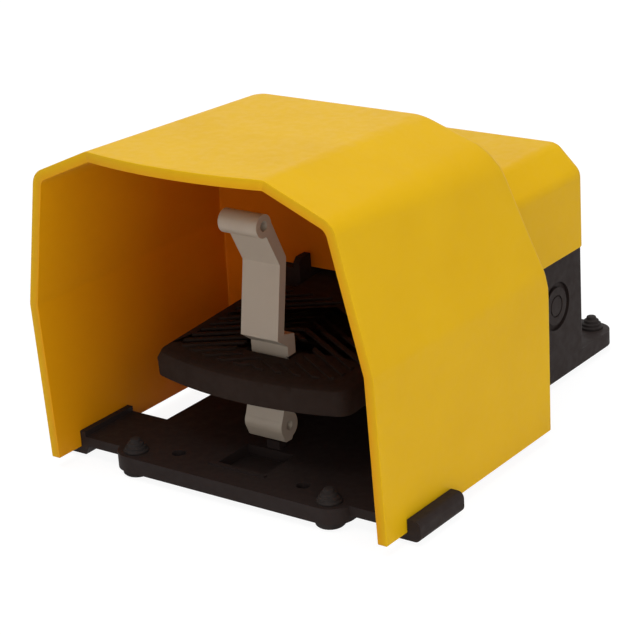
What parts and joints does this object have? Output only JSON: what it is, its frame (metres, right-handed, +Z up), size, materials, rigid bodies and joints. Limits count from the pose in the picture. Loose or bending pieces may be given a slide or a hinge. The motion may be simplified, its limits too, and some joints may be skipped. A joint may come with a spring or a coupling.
{
  "type": "guarded industrial foot switch",
  "caption": "Pedal switch under a one-piece guard hood, with a toe latch that must be pushed before the pedal goes down and two contact blocks in a dry rear housing.",
  "frame": {"origin": "on the floor, under the middle of the part's bounding box", "axes": "+Y from the opening of the hood to the rear of the base, +Z up, +X to the right as the user faces the opening"},
  "size_m": [0.1718, 0.2248, 0.1369],
  "materials": {
    "yellow_plastic": "fine moulded grain",
    "black_plastic": "fine moulded grain",
    "grey_plastic": "smooth moulded",
    "natural_plastic": "smooth moulded",
    "green_plastic": "smooth moulded",
    "red_plastic": "smooth moulded",
    "rubber": "matt",
    "zinc_steel": "zinc plated",
    "spring_steel": "drawn wire",
    "brass": "plain"
  },
  "bodies": {
    "frame": {"base": "black_plastic", "hood": "yellow_plastic", "cover_gasket": "rubber", "cover_screws": "zinc_steel", "foot_front_left": "rubber", "foot_front_right": "rubber", "foot_rear_left": "rubber", "foot_rear_right": "rubber", "pedal_axle": "zinc_steel", "axle_clips": "zinc_steel", "pedal_spring_left": "spring_steel", "pedal_spring_right": "spring_steel", "block_rail": "zinc_steel", "rail_screws": "zinc_steel", "contact_block_no": "black_plastic", "contact_block_nc": "black_plastic", "block_screws": "zinc_steel", "plunger_seals": "rubber", "terminal_clamps": "brass", "terminal_screws": "zinc_steel"},
    "pedal": {"pedal": "black_plastic", "pedal_bush_left": "natural_plastic", "pedal_bush_right": "natural_plastic", "latch_pin": "zinc_steel", "latch_pin_clip": "zinc_steel", "latch_spring": "spring_steel"},
    "latch": {"latch_lever": "grey_plastic"},
    "plunger_no": {"plunger_no": "green_plastic"},
    "plunger_nc": {"plunger_nc": "red_plastic"}
  },
  "joints": [
    {"name": "pedal_press", "type": "hinge", "parent": "frame", "child": "pedal", "pos_m": [0, 0.01986, 0.045], "axis": [1, 0, 0], "range_deg": [0, 7], "stiffness_Nm_per_rad": 6, "springref_deg": -17.19, "deforming": ["pedal_spring_left", "pedal_spring_right"]},
    {"name": "latch_release", "type": "hinge", "parent": "pedal", "child": "latch", "pos_m": [0, -0.05864, 0.0408], "axis": [1, 0, 0], "range_deg": [-28, 0], "stiffness_Nm_per_rad": 0.05, "springref_deg": 22.92, "deforming": ["latch_spring"]},
    {"name": "plunger_no_slide", "type": "slide", "parent": "frame", "child": "plunger_no", "axis": [0, 1, 0], "range_m": [0, 0.0025], "stiffness_N_per_m": 200, "springref_m": -0.01},
    {"name": "plunger_nc_slide", "type": "slide", "parent": "frame", "child": "plunger_nc", "axis": [0, 1, 0], "range_m": [0, 0.0025], "stiffness_N_per_m": 200, "springref_m": -0.01}
  ],
  "couplings": [
    {"joint": "latch_release", "follows": "pedal_press", "ratio": -4},
    {"joint": "plunger_no_slide", "follows": "pedal_press", "m_per_rad": 0.018},
    {"joint": "plunger_nc_slide", "follows": "pedal_press", "m_per_rad": 0.018}
  ]
}
